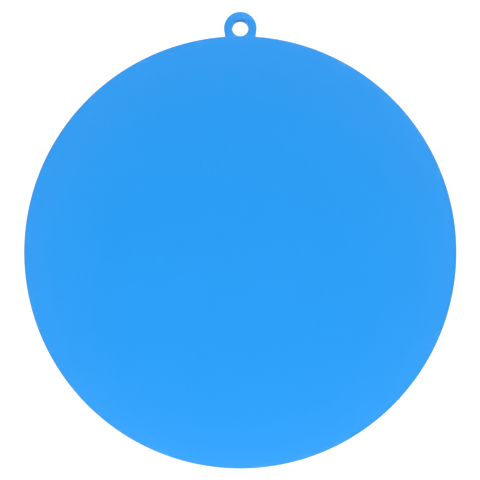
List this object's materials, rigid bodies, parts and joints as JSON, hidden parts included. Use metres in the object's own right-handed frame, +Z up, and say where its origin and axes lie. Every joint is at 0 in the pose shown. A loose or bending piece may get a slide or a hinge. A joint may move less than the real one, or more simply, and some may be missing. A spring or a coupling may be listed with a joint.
{
  "type": "hockey puck with hanging eyelet",
  "caption": "Blue rubber hockey puck lying flat, with a small flat ring eyelet screwed into the middle of its rim for hanging.",
  "frame": {"origin": "centre of the flat bottom face, where the puck lies on the ice", "axes": "+Z up along the axis of the disc, +Y from the axis towards the eyelet on the rim, +X to the right of the eyelet as seen from above"},
  "size_m": [0.0762, 0.0824, 0.0254],
  "materials": {
    "puck_rubber": "matte",
    "insert_brass": "satin",
    "eyelet_plastic": "satin"
  },
  "bodies": {
    "root": {"puck_body": "puck_rubber", "threaded_insert": "insert_brass", "hang_eyelet": "eyelet_plastic"}
  },
  "joints": []
}
